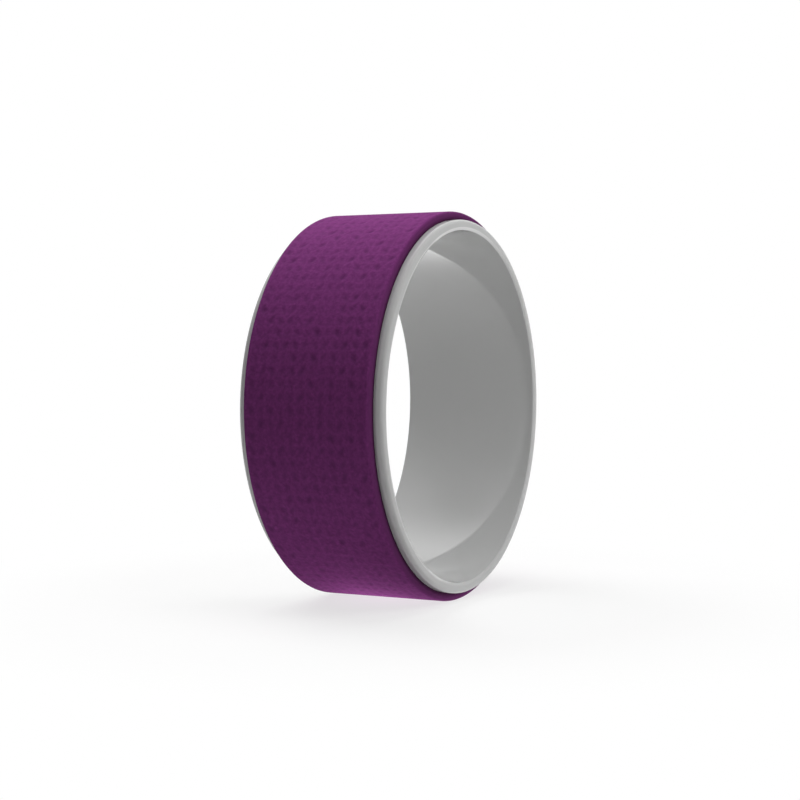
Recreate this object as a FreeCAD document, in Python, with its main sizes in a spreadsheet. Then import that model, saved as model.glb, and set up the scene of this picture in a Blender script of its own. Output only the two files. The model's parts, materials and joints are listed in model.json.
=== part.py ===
import FreeCAD, Part
import os

import Sketcher

# Yoga wheel: a rigid moulded hoop with a foam strip wrapped round it and bonded into a shallow seat.
# Millimetres. The origin is the wheel's centre, +Y runs along the hoop's axis and +Z is up.

# Driving sizes, each written once
driving_sizes = [
    ("bore_diameter", 298.0, "clear opening through the hoop"),
    ("hoop_wall", 9.0, "hoop's thickness at its rims"),
    ("rim_width", 7.8, "bare rim on each side of the pad's seat"),
    ("rim_rounding", 3.0, "radius on the rims' outer edges"),
    ("opening_bevel", 2.0, "bevel on the edges of the opening"),
    ("seat_depth", 1.5, "pad's seat, measured down from the rims"),
    ("pad_width", 113.0, "foam strip, across"),
    ("pad_thickness", 8.0, "foam strip, through"),
    ("pad_side_gap", 0.2, "free space between the strip and each rim's shoulder"),
    ("pad_edge_bevel", 1.5, "bevel on the strip's outer edges"),
    ("tape_thickness", 0.5, "double-sided tape under the strip"),
    ("tape_inset", 2.0, "how far the tape stops short of the strip's edges"),
    ("seam_gap", 0.6, "glue line between the strip's two ends"),
    ("seam_recess", 0.4, "how far the glue stays below the tread"),
    ("seam_angle", 20.0, "degrees from level, downwards, to the butt joint at the back"),
    ("overrun", 2.0, "how far a cut runs past what it cuts"),
]

document = FreeCAD.newDocument("YogaWheel")
sheet = document.addObject("Spreadsheet::Sheet", "Sizes")
for row, (alias, value, note) in enumerate(driving_sizes, start=1):
    sheet.set(f"A{row}", note)
    sheet.set(f"B{row}", str(value))
    sheet.setAlias(f"B{row}", alias)
document.recompute()

# Sizes that follow, as expressions: radii from the bore outwards, then widths from the strip outwards
bore_radius = "(Sizes.bore_diameter / 2)"
rim_radius = f"({bore_radius} + Sizes.hoop_wall)"
seat_radius = f"({rim_radius} - Sizes.seat_depth)"
pad_inner_radius = f"({seat_radius} + Sizes.tape_thickness)"
pad_outer_radius = f"({pad_inner_radius} + Sizes.pad_thickness)"
tape_width = "(Sizes.pad_width - 2 * Sizes.tape_inset)"
seat_width = "(Sizes.pad_width + 2 * Sizes.pad_side_gap)"
hoop_width = f"({seat_width} + 2 * Sizes.rim_width)"

# Tolerance for recognising an edge by its radius and place, and the size that each kind of easing is set by
edge_match = 1e-4
easing_size = {"Fillet": "Radius", "Chamfer": "Size"}


def size_of(expression):
    """Give the number that an expression over the sheet's cells stands for."""
    return float(sheet.evalExpression(expression))


def new_body(label):
    """Start a sub-part; its label names its file."""
    body = document.addObject("PartDesign::Body", label)
    body.Label = label
    return body


def band_sketch(body, name, inner, outer, width):
    """Draw a rectangle from one radius to another, centred across the wheel, in the plane of the axis."""
    sketch = body.newObject("Sketcher::SketchObject", name)
    planes = body.Origin.OriginFeatures
    sketch.AttachmentSupport = [(next(plane for plane in planes if plane.Role == "XY_Plane"), "")]
    sketch.MapMode = "FlatFace"
    near, far, half = size_of(inner), size_of(outer), size_of(width) / 2
    corners = [(near, -half), (near, half), (far, half), (far, -half)]
    points = [FreeCAD.Vector(radius, along, 0) for radius, along in corners]
    inner_side, top_side, outer_side, bottom_side = (
        sketch.addGeometry(Part.LineSegment(start, end), False)
        for start, end in zip(points, points[1:] + points[:1])
    )
    sides = [inner_side, top_side, outer_side, bottom_side]
    for side, following in zip(sides, sides[1:] + sides[:1]):
        sketch.addConstraint(Sketcher.Constraint("Coincident", side, 2, following, 1))
    sketch.addConstraint(Sketcher.Constraint("Horizontal", top_side))
    sketch.addConstraint(Sketcher.Constraint("Horizontal", bottom_side))
    sketch.addConstraint(Sketcher.Constraint("Vertical", outer_side))
    sketch.addConstraint(Sketcher.Constraint("Symmetric", inner_side, 1, inner_side, 2, -1))
    measured = [
        (Sketcher.Constraint("DistanceX", -1, 1, inner_side, 1, near), "inner", inner),
        (Sketcher.Constraint("DistanceX", -1, 1, outer_side, 1, far), "outer", outer),
        (Sketcher.Constraint("DistanceY", inner_side, 1, inner_side, 2, 2 * half), "width", width),
    ]
    for constraint, constraint_name, expression in measured:
        index = sketch.addConstraint(constraint)
        sketch.renameConstraint(index, constraint_name)
        sketch.setExpression(f"Constraints.{constraint_name}", expression)
    return sketch


def turned(body, kind, name, sketch):
    """Carry a section once round the wheel's axis, adding or cutting material."""
    feature = body.newObject(f"PartDesign::{kind}", name)
    feature.Profile = sketch
    feature.ReferenceAxis = (sketch, ["V_Axis"])
    feature.Angle = 360.0
    document.recompute()
    return feature


def straight(body, kind, name, sketch, thickness):
    """Push a section out evenly to both sides of the seam's plane, adding or cutting material."""
    feature = body.newObject(f"PartDesign::{kind}", name)
    feature.Profile = sketch
    feature.Midplane = True
    feature.setExpression("Length", thickness)
    document.recompute()
    return feature


def eased(body, kind, name, base, radius_of_edge, width, amount):
    """Round or bevel the two circular edges that lie at one radius, on both ends of a width."""
    wanted_radius, wanted_place = size_of(radius_of_edge), size_of(width) / 2
    names = []
    for number, edge in enumerate(base.Shape.Edges, start=1):
        if not isinstance(edge.Curve, Part.Circle):
            continue
        off_radius = abs(edge.Curve.Radius - wanted_radius)
        off_place = abs(abs(edge.Curve.Center.y) - wanted_place)
        if max(off_radius, off_place) < edge_match:
            names.append(f"Edge{number}")
    feature = body.newObject(f"PartDesign::{kind}", name)
    feature.Base = (base, names)
    feature.setExpression(easing_size[kind], amount)
    document.recompute()
    return feature


def at_the_seam(body):
    """Turn a piece about the wheel's axis, so that the strip's butt joint lies at the back."""
    body.Placement = FreeCAD.Placement(FreeCAD.Vector(), FreeCAD.Rotation(FreeCAD.Vector(0, 1, 0), 1))
    body.setExpression("Placement.Rotation.Angle", "Sizes.seam_angle")
    document.recompute()


# Core ring: a plain hoop, a shallow seat turned into its outside, rounded rims and a bevelled opening
core_ring = new_body("core_ring")
hoop_section = band_sketch(core_ring, "HoopSection", bore_radius, rim_radius, hoop_width)
hoop = turned(core_ring, "Revolution", "Hoop", hoop_section)
seat_section = band_sketch(core_ring, "SeatSection", seat_radius, f"({rim_radius} + Sizes.overrun)", seat_width)
seat = turned(core_ring, "Groove", "PadSeat", seat_section)
rims = eased(core_ring, "Fillet", "RimRounding", seat, rim_radius, hoop_width, "Sizes.rim_rounding")
eased(core_ring, "Chamfer", "OpeningBevel", rims, bore_radius, hoop_width, "Sizes.opening_bevel")

# Adhesive tape: a thin sheet that lines the seat and stops short of the strip's edges
adhesive_tape = new_body("adhesive_tape")
tape_section = band_sketch(adhesive_tape, "TapeSection", seat_radius, pad_inner_radius, tape_width)
turned(adhesive_tape, "Revolution", "Tape", tape_section)

# Foam pad: a strip with eased outer edges, wrapped once round and cut square at its butt joint
foam_pad = new_body("foam_pad")
pad_section = band_sketch(foam_pad, "PadSection", pad_inner_radius, pad_outer_radius, "Sizes.pad_width")
strip = turned(foam_pad, "Revolution", "Strip", pad_section)
strip_edges = eased(
    foam_pad, "Chamfer", "StripEdges", strip, pad_outer_radius, "Sizes.pad_width", "Sizes.pad_edge_bevel"
)
joint_section = band_sketch(
    foam_pad,
    "ButtJointSection",
    f"({pad_inner_radius} - Sizes.overrun)",
    f"({pad_outer_radius} + Sizes.overrun)",
    "(Sizes.pad_width + 2 * Sizes.overrun)",
)
butt_joint = straight(foam_pad, "Pocket", "ButtJoint", joint_section, "Sizes.seam_gap")
at_the_seam(foam_pad)

# Seam glue: the cured line that fills the butt joint, a little below the tread
seam_glue = new_body("seam_glue")
glue_section = band_sketch(
    seam_glue,
    "GlueSection",
    pad_inner_radius,
    f"({pad_outer_radius} - Sizes.seam_recess)",
    "(Sizes.pad_width - 2 * Sizes.pad_edge_bevel)",
)
straight(seam_glue, "Pad", "GlueLine", glue_section, "Sizes.seam_gap")
at_the_seam(seam_glue)

# Checks: every feature built, every cut removed material, every sub-part is one valid solid
document.recompute()
for item in document.Objects:
    if "Invalid" in item.State or "Error" in item.State:
        raise RuntimeError(f"{item.Label} failed to build: {item.State}")
for before, after in ((hoop, seat), (strip_edges, butt_joint)):
    if not after.Shape.Volume < before.Shape.Volume:
        raise RuntimeError(f"{after.Label} cut nothing")
sub_parts = [core_ring, adhesive_tape, foam_pad, seam_glue]
for body in sub_parts:
    if body.Shape.isNull() or not body.Shape.isValid() or len(body.Shape.Solids) != 1:
        raise RuntimeError(f"{body.Label} is not one valid solid")

os.makedirs("parts", exist_ok=True)
for body in sub_parts:
    body.Shape.exportStep(f"parts/{body.Label}.step")
    box = body.Shape.optimalBoundingBox()
    spans = " x ".join(f"{span:.2f}" for span in (box.XLength, box.YLength, box.ZLength))
    print(f"{body.Label}: {spans} mm, {body.Shape.Volume / 1000:.1f} cm3")
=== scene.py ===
import json
import math

import bpy
import numpy as np
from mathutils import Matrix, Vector


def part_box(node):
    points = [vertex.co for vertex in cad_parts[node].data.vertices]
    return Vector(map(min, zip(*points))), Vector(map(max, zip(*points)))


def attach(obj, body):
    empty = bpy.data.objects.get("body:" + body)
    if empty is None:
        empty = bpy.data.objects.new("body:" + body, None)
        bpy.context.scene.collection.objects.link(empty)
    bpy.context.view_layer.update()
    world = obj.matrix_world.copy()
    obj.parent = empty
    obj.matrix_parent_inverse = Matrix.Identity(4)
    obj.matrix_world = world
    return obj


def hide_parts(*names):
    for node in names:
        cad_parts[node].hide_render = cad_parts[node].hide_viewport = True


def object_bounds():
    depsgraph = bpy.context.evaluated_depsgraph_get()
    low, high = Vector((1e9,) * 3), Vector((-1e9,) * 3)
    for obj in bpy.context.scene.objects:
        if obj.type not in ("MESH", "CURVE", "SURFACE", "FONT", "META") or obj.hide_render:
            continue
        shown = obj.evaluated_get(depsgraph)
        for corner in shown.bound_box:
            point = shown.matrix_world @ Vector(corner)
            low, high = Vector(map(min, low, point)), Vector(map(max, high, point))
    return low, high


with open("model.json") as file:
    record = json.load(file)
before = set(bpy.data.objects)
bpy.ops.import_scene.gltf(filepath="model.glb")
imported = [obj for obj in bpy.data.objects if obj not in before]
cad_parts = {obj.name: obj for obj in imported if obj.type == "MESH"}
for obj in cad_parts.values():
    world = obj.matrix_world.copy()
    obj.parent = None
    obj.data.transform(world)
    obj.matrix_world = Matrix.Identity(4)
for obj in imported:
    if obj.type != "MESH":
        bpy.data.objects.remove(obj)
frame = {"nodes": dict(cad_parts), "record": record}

solids_box = [list(corner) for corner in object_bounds()]

# Core ring: the rigid hoop that carries the wheel, moulded in one piece from grey ABS.
# A shallow seat runs round its outside for the tread, and leaves a bare rim on each side.
# Its rims are rounded outside and bevelled towards the opening, where a narrow paler edge is painted on as a
# highlight.
mm = 0.001
ring_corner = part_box("core_ring")[1]
opening = next(mount for mount in frame["record"]["mounts"] if mount["name"] == "opening")
bore_radius = opening["dims"]["r_mm"] * mm
bore_half = opening["dims"]["length_mm"] * mm / 2
rim_radius = ring_corner.z
ring_half = ring_corner.y
bevel = ring_half - bore_half
tape_thickness = 0.5 * mm
pad_side_gap = 0.2 * mm
seat_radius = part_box("adhesive_tape")[1].z - tape_thickness
seat_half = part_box("foam_pad")[1].y + pad_side_gap
rim_rounding = 3.0 * mm
bevel_rise = 1.0 * mm
bevel_easing = 0.4 * mm
shoulder_easing = 0.2 * mm
seat_corner = 0.1 * mm
ring_steps_round = 540
corner_steps = 8
corner_hold = 0.2 * mm


def eased_outline(corners):
    """Walk a closed outline of (radius, place along the axis, easing) corners.

    Each corner becomes an arc that touches both of its sides at easing times the tangent of half the turn,
    with one more point a little way along each side, so that the flat beside an arc keeps its own shading.
    """
    points = np.array([corner[:2] for corner in corners])
    easings = np.array([corner[2] for corner in corners])
    arrive = points - np.roll(points, 1, axis=0)
    arrive /= np.linalg.norm(arrive, axis=1)[:, None]
    leave = np.roll(arrive, -1, axis=0)
    cross = arrive[:, 0] * leave[:, 1] - arrive[:, 1] * leave[:, 0]
    turn = np.arctan2(cross, np.sum(arrive * leave, axis=1))
    reach = easings * np.tan(np.abs(turn) / 2)
    inward = np.sign(turn)[:, None] * np.stack([-arrive[:, 1], arrive[:, 0]], axis=1)
    middle = points - arrive * reach[:, None] + inward * easings[:, None]
    swing = np.linspace(0, 1, corner_steps + 1)[None, :] * np.abs(turn)[:, None]
    arcs = middle[:, None, :] + easings[:, None, None] * (
        np.sin(swing)[..., None] * arrive[:, None, :] - np.cos(swing)[..., None] * inward[:, None, :]
    )
    before = points - arrive * (reach + corner_hold)[:, None]
    after = points + leave * (reach + corner_hold)[:, None]
    return np.concatenate([before[:, None], arcs, after[:, None]], axis=1).reshape(-1, 2)


def carried_round(section, angles):
    """Carry a section of (radius, place along the axis) points round the wheel's axis.

    A point lands at radius times cosine along X, at its own place along Y and at radius times sine along Z.
    The section may be one outline, or one outline for each angle.
    """
    radius = np.broadcast_to(section[..., 0], (len(angles), section.shape[-2]))
    along = np.broadcast_to(section[..., 1], radius.shape)
    return np.stack([radius * np.cos(angles)[:, None], along, radius * np.sin(angles)[:, None]], axis=-1)


def skinned(name, grid, closed_along):
    """Make a mesh piece from a grid of points whose rows are closed outlines.

    Each point is joined to the next one in its outline and to their two partners in the next row. The rows
    close into a ring, or else the first and the last outline are filled in as flat ends.
    """
    rows, columns = grid.shape[:2]
    row = np.arange(rows if closed_along else rows - 1)[:, None]
    column = np.arange(columns)[None, :]
    next_row, next_column = (row + 1) % rows, (column + 1) % columns
    corners = [
        row * columns + column,
        next_row * columns + column,
        next_row * columns + next_column,
        row * columns + next_column,
    ]
    quads = np.stack([np.broadcast_to(corner, (len(row), columns)) for corner in corners], axis=-1)
    faces = quads.reshape(-1, 4).tolist()
    skin_faces = len(faces)
    if not closed_along:
        faces.append(list(range(columns)))
        faces.append(list(range(rows * columns - 1, (rows - 1) * columns - 1, -1)))
    mesh = bpy.data.meshes.new(name)
    mesh.from_pydata(grid.reshape(-1, 3).tolist(), [], faces)
    mesh.polygons.foreach_set("use_smooth", np.arange(len(faces)) < skin_faces)
    piece = bpy.data.objects.new(name, mesh)
    bpy.context.scene.collection.objects.link(piece)
    return piece


def linear(hex_code):
    """Turn an sRGB hex colour into the linear colour that a shader takes.

    Dark parts are divided by 12.92. The others are offset by 0.055, scaled back and raised to the power 2.4.
    """
    parts = np.array([int(hex_code[start:start + 2], 16) for start in (1, 3, 5)]) / 255
    light = np.where(parts <= 0.04045, parts / 12.92, ((parts + 0.055) / 1.055) ** 2.4)
    return (*light.tolist(), 1.0)


def add_node(tree, kind, links=None, values=None, **settings):
    """Add one node: its own settings, the values of its sockets, and the sockets that feed it."""
    node = tree.nodes.new(kind)
    for name, setting in settings.items():
        setattr(node, name, setting)
    for socket, value in (values or {}).items():
        node.inputs[socket].default_value = value
    for socket, source in (links or {}).items():
        tree.links.new(source, node.inputs[socket])
    return node


def new_material(name):
    """Start an empty node material, and give it with its node tree."""
    material = bpy.data.materials.new(name)
    material.use_nodes = True
    material.node_tree.nodes.clear()
    return material, material.node_tree


def weighted_distance(tree, place, weights):
    """Give the length of a point's place after each of its three parts is multiplied by its weight.

    Weights of 1, 0 and 1 give the distance from the wheel's axis.
    """
    weighted = add_node(
        tree, "ShaderNodeVectorMath", {0: place.outputs["Object"]}, {1: weights}, operation="MULTIPLY"
    )
    length = add_node(tree, "ShaderNodeVectorMath", {0: weighted.outputs["Vector"]}, operation="LENGTH")
    return length.outputs["Value"]


ring_outline = [
    (bore_radius, bevel_rise - ring_half, bevel_easing),
    (bore_radius, ring_half - bevel_rise, bevel_easing),
    (bore_radius + bevel, ring_half, bevel_easing),
    (rim_radius, ring_half, rim_rounding),
    (rim_radius, seat_half, shoulder_easing),
    (seat_radius, seat_half, seat_corner),
    (seat_radius, -seat_half, seat_corner),
    (rim_radius, -seat_half, shoulder_easing),
    (rim_radius, -ring_half, rim_rounding),
    (bore_radius + bevel, -ring_half, bevel_easing),
]
ring_angles = np.linspace(0, 2 * math.pi, ring_steps_round, endpoint=False)
ring = skinned("moulded_ring", carried_round(eased_outline(ring_outline), ring_angles), True)

# Moulded ABS from a polished mould: a smooth, even grey with a clear sheen.
# To match that sheen its IOR is set above the usual 1.54.
# A very slow unevenness of the wall bends the reflections a little, and handling leaves faint dull patches.
# On one half of the opening the bevel carries a painted highlight: there it is paler, elsewhere it is like
# the rest.
ring_grey = "#BEBEBE"
ring_grey_worn = "#B9BAB9"
# The paler bevel colour is a painted highlight on one side of the opening.
ring_bevel_highlight = "#E2E2E2"
across_axis = (1.0, 0.0, 1.0)
highlight_starts = bore_radius + 0.1 * bevel
highlight_full = bore_radius + 0.2 * bevel
highlight_fades = bore_radius + 1.1 * bevel
highlight_ends = bore_radius + 1.5 * bevel
highlight_side = math.radians(155)
highlight_side_starts = -0.2 * bore_radius
highlight_side_full = 0.25 * bore_radius
patch_size = 60 * mm
patch_starts = 0.35
patch_full = 0.75
polished_roughness = 0.04
handled_roughness = 0.08
wall_wave = 25 * mm
wave_height = 0.05 * mm
abs_plastic, tree = new_material("moulded_glossy_abs")
place = add_node(tree, "ShaderNodeTexCoord")
handling = add_node(
    tree, "ShaderNodeTexNoise", {"Vector": place.outputs["Object"]},
    {"Scale": 1 / patch_size, "Detail": 4.0},
)
# A colour mix has its two colours in sockets 6 and 7, and the mixed colour in output 2.
tint = add_node(
    tree, "ShaderNodeMix", {"Factor": handling.outputs["Fac"]},
    {6: linear(ring_grey), 7: linear(ring_grey_worn)}, data_type="RGBA",
)
from_axis = weighted_distance(tree, place, across_axis)
past_wall = add_node(
    tree, "ShaderNodeMapRange", {"Value": from_axis}, {"From Min": highlight_starts, "From Max": highlight_full}
)
before_face = add_node(
    tree, "ShaderNodeMapRange", {"Value": from_axis},
    {"From Min": highlight_fades, "From Max": highlight_ends, "To Min": 1.0, "To Max": 0.0},
)
on_bevel = add_node(
    tree, "ShaderNodeMath", {0: past_wall.outputs["Result"], 1: before_face.outputs["Result"]},
    operation="MULTIPLY",
)
towards_highlight_side = add_node(
    tree, "ShaderNodeVectorMath", {0: place.outputs["Object"]},
    {1: (math.cos(highlight_side), 0.0, math.sin(highlight_side))}, operation="DOT_PRODUCT",
)
highlight_side_share = add_node(
    tree, "ShaderNodeMapRange", {"Value": towards_highlight_side.outputs["Value"]},
    {"From Min": highlight_side_starts, "From Max": highlight_side_full},
)
# Painted highlight: the bevel is paler, most of all on one side of the opening.
painted_highlight = add_node(
    tree, "ShaderNodeMath", {0: on_bevel.outputs["Value"], 1: highlight_side_share.outputs["Result"]},
    operation="MULTIPLY",
)
plastic_colour = add_node(
    tree, "ShaderNodeMix", {"Factor": painted_highlight.outputs["Value"], 6: tint.outputs[2]},
    {7: linear(ring_bevel_highlight)}, data_type="RGBA",
)
dulling = add_node(
    tree, "ShaderNodeMapRange", {"Value": handling.outputs["Fac"]},
    {"From Min": patch_starts, "From Max": patch_full,
     "To Min": polished_roughness, "To Max": handled_roughness},
)
wall_waves = add_node(
    tree, "ShaderNodeTexNoise", {"Vector": place.outputs["Object"]},
    {"Scale": 1 / wall_wave, "Detail": 1.0},
)
unevenness = add_node(
    tree, "ShaderNodeBump", {"Height": wall_waves.outputs["Fac"]},
    {"Strength": 0.25, "Distance": wave_height},
)
abs_shader = add_node(
    tree, "ShaderNodeBsdfPrincipled",
    {"Base Color": plastic_colour.outputs[2], "Roughness": dulling.outputs["Result"],
     "Normal": unevenness.outputs["Normal"]},
    {"IOR": 1.7},
)
add_node(tree, "ShaderNodeOutputMaterial", {"Surface": abs_shader.outputs["BSDF"]})
ring.data.materials.append(abs_plastic)
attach(ring, "root")
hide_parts("core_ring")

# Adhesive tape: the double-sided acrylic sheet between the ring's seat and the tread.
# It is laid into the seat and stops short of the tread's edges, so that only its thin side can be glimpsed.
# The film is a milky acrylic, and its faint clouds make it duller in places.
tape_milky = "#6E5A6C"
cloud_size = 4 * mm
clear_roughness = 0.35
clouded_roughness = 0.6
acrylic_film, tree = new_material("acrylic_adhesive_film")
place = add_node(tree, "ShaderNodeTexCoord")
clouds = add_node(
    tree, "ShaderNodeTexNoise", {"Vector": place.outputs["Object"]},
    {"Scale": 1 / cloud_size, "Detail": 3.0},
)
film_roughness = add_node(
    tree, "ShaderNodeMapRange", {"Value": clouds.outputs["Fac"]},
    {"To Min": clear_roughness, "To Max": clouded_roughness},
)
film_shader = add_node(
    tree, "ShaderNodeBsdfPrincipled", {"Roughness": film_roughness.outputs["Result"]},
    {"Base Color": linear(tape_milky), "IOR": 1.47},
)
add_node(tree, "ShaderNodeOutputMaterial", {"Surface": film_shader.outputs["BSDF"]})
tape = frame["nodes"]["adhesive_tape"]
tape.data.materials.clear()
tape.data.materials.append(acrylic_film)

# Foam pad: the tread, a strip of closed-cell foam wrapped once round the ring and bonded into its seat.
# Its outer skin is hot-pressed with fine slanted marks for grip, its sides are cut and its edges are eased.
# The two ends of the strip meet in a glued butt joint on the far side.
pad_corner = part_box("foam_pad")[1]
pad_outer = pad_corner.z
pad_half = pad_corner.y
pad_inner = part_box("adhesive_tape")[1].z
edge_rounding = 3.0 * mm
edge_steps = 6
seam_angle = math.radians(-20)
seam_gap = 0.6 * mm
marks_round = 100
mark_columns = 12
samples_per_mark = 8
samples_per_column = 8
mark_depth = 0.8 * mm
mark_slant = 0.5
mark_seed = 4
shallow_depth = 0.7
depth_variation = 0.7
end_softness = 1.2 * mm
end_drop = 0.25 * mm


def pressed_marks(round_share, across_share):
    """Depth of the pressed skin, from 0 on its plain parts to 1 in the middle of the deepest marks.

    The marks stand in columns along the strip. A mark is a raised cosine of the place along its column
    times the squared cosine of the place across it. The columns lean to one side and the other in turn,
    so that two of them make chevrons. Every second mark is deep, in a staggered grid, and the others are
    shallow. Each mark also has its own share of that depth, drawn once from a seeded table.
    """
    column_place = across_share * mark_columns
    column = np.minimum(column_place.astype(int), mark_columns - 1)
    across = column_place - column - 0.5
    lean = mark_slant * across * np.where(column % 2, 1, -1)
    mark_place = round_share[:, None] * marks_round + lean[None, :]
    mark = np.floor(mark_place).astype(int)
    along_mark = 0.5 - 0.5 * np.cos(2 * math.pi * (mark_place - mark))
    swell = along_mark * np.cos(math.pi * across)[None, :] ** 2
    marks = np.arange(marks_round)[:, None]
    columns = np.arange(mark_columns)[None, :]
    depths = np.where((marks + columns) % 2, shallow_depth, 1.0)
    depths = depths * (1 - depth_variation * np.random.default_rng(mark_seed).random(depths.shape))
    return swell * depths[mark % marks_round, column[None, :]]


strip_rows = marks_round * samples_per_mark + 1
tread_columns = mark_columns * samples_per_column + 1
across_share = np.linspace(0, 1, tread_columns)
tread_half = pad_half - edge_rounding
quarter = np.linspace(0, math.pi / 2, edge_steps + 1)
edge_radius = pad_outer - edge_rounding * (1 - np.cos(quarter))
edge_place = tread_half + edge_rounding * np.sin(quarter)
rounded_edge = np.stack([edge_radius, edge_place], axis=1)[1:]
inner_corner = [[pad_inner + corner_hold, pad_half], [pad_inner, pad_half - corner_hold]]
far_side = np.concatenate([rounded_edge, inner_corner])
near_side = far_side[::-1] * np.array([1, -1])
tread_line = np.stack([np.full(tread_columns, pad_outer), (2 * across_share - 1) * tread_half], axis=1)
pad_outline = np.concatenate([near_side, tread_line, far_side])
round_share = np.linspace(0, 1, strip_rows)
half_gap_angle = seam_gap / 2 / pad_outer
pad_angles = seam_angle + half_gap_angle + round_share * 2 * (math.pi - half_gap_angle)
pad_sections = np.repeat(pad_outline[None], strip_rows, axis=0)
skin = slice(len(near_side), len(near_side) + tread_columns)
pressed = np.zeros(pad_sections.shape[:2])
pressed[:, skin] = pressed_marks(round_share, across_share)
pad_sections[..., 0] -= mark_depth * pressed
from_end = np.minimum(round_share, 1 - round_share) * 2 * math.pi * pad_outer
pad_sections[:, skin, 0] -= end_drop * np.exp(-from_end / end_softness)[:, None]
pad = skinned("embossed_tread", carried_round(pad_sections, pad_angles), False)
pad.data.attributes.new("pressed", "FLOAT", "POINT").data.foreach_set("value", pressed.ravel())

# Closed-cell foam with a hot-pressed skin: a deep matt purple that hardly shines.
# The pressed marks carry painted shade in their hollows, and the cells close under the skin mottle and
# roughen it faintly.
# Real cells are well under a millimetre wide, too fine to show, so they are drawn coarser.
# The cut sides are painted darker as shade, with a painted shadow that is darkest in the corner by the rim.
foam_purple = "#8F4388"
foam_purple_deep = "#602C5E"
# The darker colour of the pressed marks is painted shade in their hollows.
foam_mark_shade = "#653063"
# The side colour is painted shade, and the corner colour is a painted shadow beside the rim.
foam_side_shade = "#642F60"
foam_corner_shadow = "#45203F"
foam_sheen = "#8E2F86"
side_shade_starts = pad_half - 0.65 * edge_rounding
side_shade_full = pad_half - 0.1 * edge_rounding
corner_shadow_rise = 3.5 * mm
cell_size = 2.5 * mm
cell_relief = 0.45 * mm
foam, tree = new_material("pressed_closed_cell_foam")
place = add_node(tree, "ShaderNodeTexCoord")
cells = add_node(
    tree, "ShaderNodeTexNoise", {"Vector": place.outputs["Object"]},
    {"Scale": 1 / cell_size, "Detail": 2.0},
)
mottled = add_node(
    tree, "ShaderNodeMix", {"Factor": cells.outputs["Fac"]},
    {6: linear(foam_purple), 7: linear(foam_purple_deep)}, data_type="RGBA",
)
pressing = add_node(tree, "ShaderNodeAttribute", attribute_name="pressed")
# Painted shade: the marks are darker where they are deeper.
skin_colour = add_node(
    tree, "ShaderNodeMix", {"Factor": pressing.outputs["Fac"], 6: mottled.outputs[2]},
    {7: linear(foam_mark_shade)}, data_type="RGBA",
)
axes = add_node(tree, "ShaderNodeSeparateXYZ", {"Vector": place.outputs["Object"]})
from_middle = add_node(tree, "ShaderNodeMath", {0: axes.outputs["Y"]}, operation="ABSOLUTE")
# Painted shade on the cut sides, and below it a painted shadow that deepens towards the rim.
side_shade_share = add_node(
    tree, "ShaderNodeMapRange", {"Value": from_middle.outputs["Value"]},
    {"From Min": side_shade_starts, "From Max": side_shade_full},
)
corner_shadow_share = add_node(
    tree, "ShaderNodeMapRange", {"Value": weighted_distance(tree, place, across_axis)},
    {"From Min": rim_radius, "From Max": rim_radius + corner_shadow_rise, "To Min": 1.0, "To Max": 0.0},
)
side_shade_colour = add_node(
    tree, "ShaderNodeMix", {"Factor": corner_shadow_share.outputs["Result"]},
    {6: linear(foam_side_shade), 7: linear(foam_corner_shadow)}, data_type="RGBA",
)
foam_colour = add_node(
    tree, "ShaderNodeMix",
    {"Factor": side_shade_share.outputs["Result"], 6: skin_colour.outputs[2], 7: side_shade_colour.outputs[2]},
    data_type="RGBA",
)
cell_bump = add_node(
    tree, "ShaderNodeBump", {"Height": cells.outputs["Fac"]},
    {"Strength": 0.8, "Distance": cell_relief},
)
foam_shader = add_node(
    tree, "ShaderNodeBsdfPrincipled",
    {"Base Color": foam_colour.outputs[2], "Normal": cell_bump.outputs["Normal"]},
    {"Roughness": 0.85, "IOR": 1.45, "Specular IOR Level": 0.04,
     "Sheen Weight": 0.1, "Sheen Roughness": 0.5, "Sheen Tint": linear(foam_sheen)},
)
add_node(tree, "ShaderNodeOutputMaterial", {"Surface": foam_shader.outputs["BSDF"]})
pad.data.materials.append(foam)
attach(pad, "root")
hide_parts("foam_pad")

# Seam glue: the cured contact adhesive in the tread's butt joint, tinted like the foam.
# It is brushed on both ends of the strip before they are pressed together, and stays just below the tread.
# The brush leaves it glossier in some places than in others.
glue_plum = "#5E2C5A"
brush_mark = 2 * mm
flowed_roughness = 0.4
brushed_roughness = 0.7
contact_glue, tree = new_material("cured_contact_glue")
place = add_node(tree, "ShaderNodeTexCoord")
brushing = add_node(
    tree, "ShaderNodeTexNoise", {"Vector": place.outputs["Object"]},
    {"Scale": 1 / brush_mark, "Detail": 2.0},
)
glue_roughness = add_node(
    tree, "ShaderNodeMapRange", {"Value": brushing.outputs["Fac"]},
    {"To Min": flowed_roughness, "To Max": brushed_roughness},
)
glue_shader = add_node(
    tree, "ShaderNodeBsdfPrincipled", {"Roughness": glue_roughness.outputs["Result"]},
    {"Base Color": linear(glue_plum), "IOR": 1.5},
)
add_node(tree, "ShaderNodeOutputMaterial", {"Surface": glue_shader.outputs["BSDF"]})
glue = frame["nodes"]["seam_glue"]
glue.data.materials.clear()
glue.data.materials.append(contact_glue)

# Floor: a plain white shooting table that the wheel stands on, lit a little from below as such tables are.
# Under the wheel it glows in a narrow patch, which lights the tread from below but isn't seen itself.
# Near the wheel it takes the shadow, and further out it goes over into the white backdrop.
floor_reach = 4.0
floor_level = solids_box[0][2]
table_white = "#D9D9D9"
backdrop_white = (1.0, 1.0, 1.0, 1.0)
table_lift = 0.27
table_haze = 0.6
table_near = 0.18
table_far = 0.45
table_glow = 1.6
glow_reach = 0.18
glow_squeeze = 1.8


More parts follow.
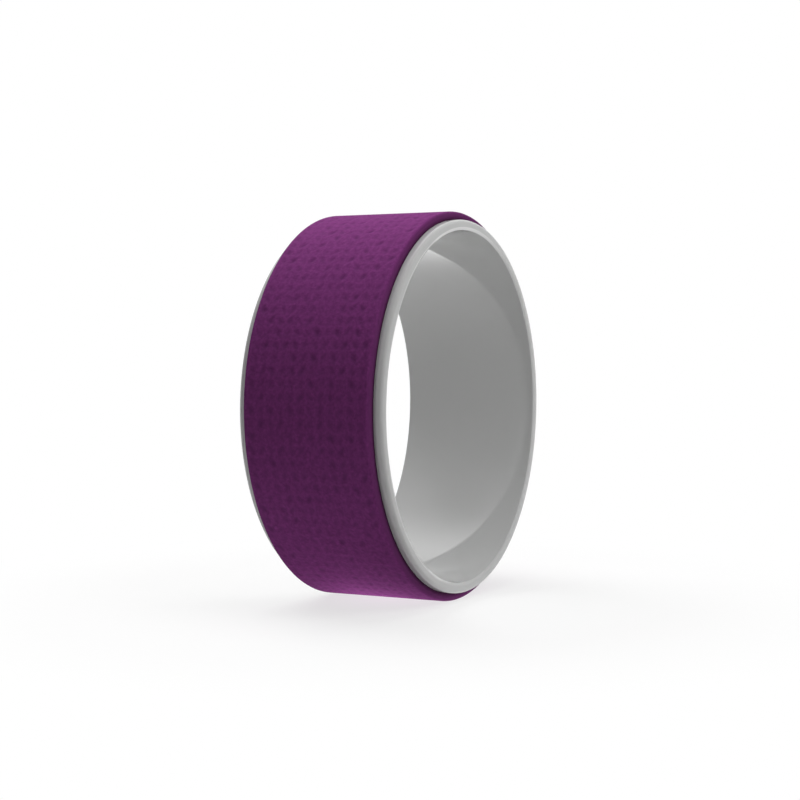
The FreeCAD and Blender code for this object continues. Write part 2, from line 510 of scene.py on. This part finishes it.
def seen_or_mirrored(tree):
    """Give a socket that is 1 for what is seen straight, mirrored or through glass, and 0 for other rays.

    It is the largest of the three marks that a ray carries for these cases.
    """
    path = add_node(tree, "ShaderNodeLightPath")
    straight_or_mirrored = add_node(
        tree, "ShaderNodeMath", {0: path.outputs["Is Camera Ray"], 1: path.outputs["Is Glossy Ray"]},
        operation="MAXIMUM",
    )
    seen = add_node(
        tree, "ShaderNodeMath",
        {0: straight_or_mirrored.outputs["Value"], 1: path.outputs["Is Transmission Ray"]},
        operation="MAXIMUM",
    )
    return seen.outputs["Value"]


floor_mesh = bpy.data.meshes.new("table")
floor_corners = [
    (-floor_reach, -floor_reach),
    (floor_reach, -floor_reach),
    (floor_reach, floor_reach),
    (-floor_reach, floor_reach),
]
floor_mesh.from_pydata([(*corner, floor_level) for corner in floor_corners], [], [(0, 1, 2, 3)])
floor = bpy.data.objects.new("table", floor_mesh)
bpy.context.scene.collection.objects.link(floor)
white_table, tree = new_material("white_acrylic_table")
place = add_node(tree, "ShaderNodeTexCoord")
fading = add_node(
    tree, "ShaderNodeMapRange", {"Value": weighted_distance(tree, place, (1.0, 1.0, 0.0))},
    {"From Min": table_near, "From Max": table_far, "To Min": table_haze}, interpolation_type="SMOOTHSTEP",
)
glow = add_node(
    tree, "ShaderNodeMapRange", {"Value": weighted_distance(tree, place, (1.0, glow_squeeze, 0.0))},
    {"From Min": 0.0, "From Max": glow_reach, "To Min": table_glow, "To Max": 0.0},
    interpolation_type="SMOOTHSTEP",
)
seen = seen_or_mirrored(tree)
# A number mix has its two numbers in sockets 2 and 3, and the mixed number in output 0.
own_light = add_node(
    tree, "ShaderNodeMix", {0: seen, 2: glow.outputs["Result"]}, {3: table_lift}, data_type="FLOAT"
)
backdrop_share = add_node(
    tree, "ShaderNodeMath", {0: fading.outputs["Result"], 1: seen}, operation="MULTIPLY"
)
table_shader = add_node(
    tree, "ShaderNodeBsdfPrincipled", {"Emission Strength": own_light.outputs[0]},
    {"Base Color": linear(table_white), "Roughness": 0.9, "Specular IOR Level": 0.0,
     "Emission Color": backdrop_white},
)
backdrop = add_node(tree, "ShaderNodeEmission", values={"Color": backdrop_white, "Strength": 1.0})
table_mix = add_node(
    tree, "ShaderNodeMixShader",
    {0: backdrop_share.outputs["Value"], 1: table_shader.outputs["BSDF"], 2: backdrop.outputs["Emission"]},
)
add_node(tree, "ShaderNodeOutputMaterial", {"Surface": table_mix.outputs["Shader"]})
floor.data.materials.append(white_table)

# Light: four plain softboxes, above, behind, in front and to the side, and a weak lamp on the table behind.
# Three more lamps are mirrored in the glossy hoop, with soft edges that leave no hard shapes in it.
# The backdrop is white where it is seen or mirrored, and sheds no other light on the wheel.
wheel_centre = (0.0, 0.0, 0.0)
softbox_side = 1.0
front_place = (-0.33, -1.0, 1.06)


def softbox(name, place, target, side, power, mirrored):
    """Hang a square soft light at a place and turn it to its target.

    A mirrored one is brightest in its middle, and falls off by a smooth step to nothing at half its side.
    """
    lamp = bpy.data.lights.new(name, "AREA")
    lamp.shape = "SQUARE"
    lamp.size = side
    lamp.energy = power
    holder = bpy.data.objects.new(name, lamp)
    holder.location = place
    holder.rotation_euler = (Vector(target) - Vector(place)).to_track_quat("-Z", "Y").to_euler()
    holder.visible_camera = False
    holder.visible_glossy = mirrored
    if mirrored:
        lamp.use_nodes = True
        tree = lamp.node_tree
        tree.nodes.clear()
        cloth = add_node(tree, "ShaderNodeNewGeometry")
        from_corner = add_node(
            tree, "ShaderNodeVectorMath", {0: cloth.outputs["Parametric"]}, {1: (1.0, 1.0, 0.0)},
            operation="MULTIPLY",
        )
        from_middle = add_node(
            tree, "ShaderNodeVectorMath", {0: from_corner.outputs["Vector"]}, {1: (0.5, 0.5, 0.0)},
            operation="DISTANCE",
        )
        fall_off = add_node(
            tree, "ShaderNodeMapRange", {"Value": from_middle.outputs["Value"]},
            {"From Min": 0.0, "From Max": 0.5, "To Min": 1.0, "To Max": 0.0},
            interpolation_type="SMOOTHSTEP",
        )
        light = add_node(tree, "ShaderNodeEmission", {"Strength": fall_off.outputs["Result"]})
        add_node(tree, "ShaderNodeOutputLight", {"Surface": light.outputs["Emission"]})
    bpy.context.scene.collection.objects.link(holder)


softbox("top_softbox", (0.0, 0.0, 1.5), wheel_centre, softbox_side, power=11.6, mirrored=False)
softbox("back_softbox", (0.33, 1.0, 1.06), wheel_centre, softbox_side, power=11.4, mirrored=False)
softbox("front_softbox", front_place, wheel_centre, softbox_side, power=7.2, mirrored=False)
softbox("side_softbox", (0.67, -1.33, 0.2), wheel_centre, softbox_side, power=6.0, mirrored=False)
softbox("mirrored_front_light", front_place, wheel_centre, softbox_side, power=7.6, mirrored=True)
softbox("mirrored_softbox", (0.6, 0.67, 1.2), wheel_centre, side=1.9, power=10.0, mirrored=True)
softbox("mirrored_table_light", (0.4, 0.18, -0.16), (0.4, 0.18, 1.0), side=0.6, power=2.7, mirrored=True)
softbox("back_table_light", (0.15, 0.55, -0.16), (0.15, 0.55, 1.0), side=0.5, power=1.2, mirrored=False)

world = bpy.data.worlds.new("studio")
bpy.context.scene.world = world
world.use_nodes = True
tree = world.node_tree
tree.nodes.clear()
studio = add_node(
    tree, "ShaderNodeBackground", {"Strength": seen_or_mirrored(tree)}, {"Color": backdrop_white}
)
add_node(tree, "ShaderNodeOutputWorld", {"Surface": studio.outputs["Background"]})
bpy.context.scene.view_settings.view_transform = "Standard"

# Camera: a long lens to the left of the wheel's open side, a little above its centre.
# The wheel sits slightly low in the picture, so the camera aims just above its centre.
camera_bearing = math.radians(63.32)
camera_elevation = math.radians(2.08)
camera_distance = 1.45
camera_aim = Vector((0.17, -0.35, 4.65)) * mm
towards_camera = Vector((
    -math.sin(camera_bearing) * math.cos(camera_elevation),
    -math.cos(camera_bearing) * math.cos(camera_elevation),
    math.sin(camera_elevation),
))
lens = bpy.data.cameras.new("camera")
lens.sensor_width = 36.0
lens.lens = 75.4
camera = bpy.data.objects.new("camera", lens)
camera.location = camera_distance * towards_camera
camera.rotation_euler = (camera_aim - camera.location).to_track_quat("-Z", "Y").to_euler()
bpy.context.scene.collection.objects.link(camera)
bpy.context.scene.camera = camera
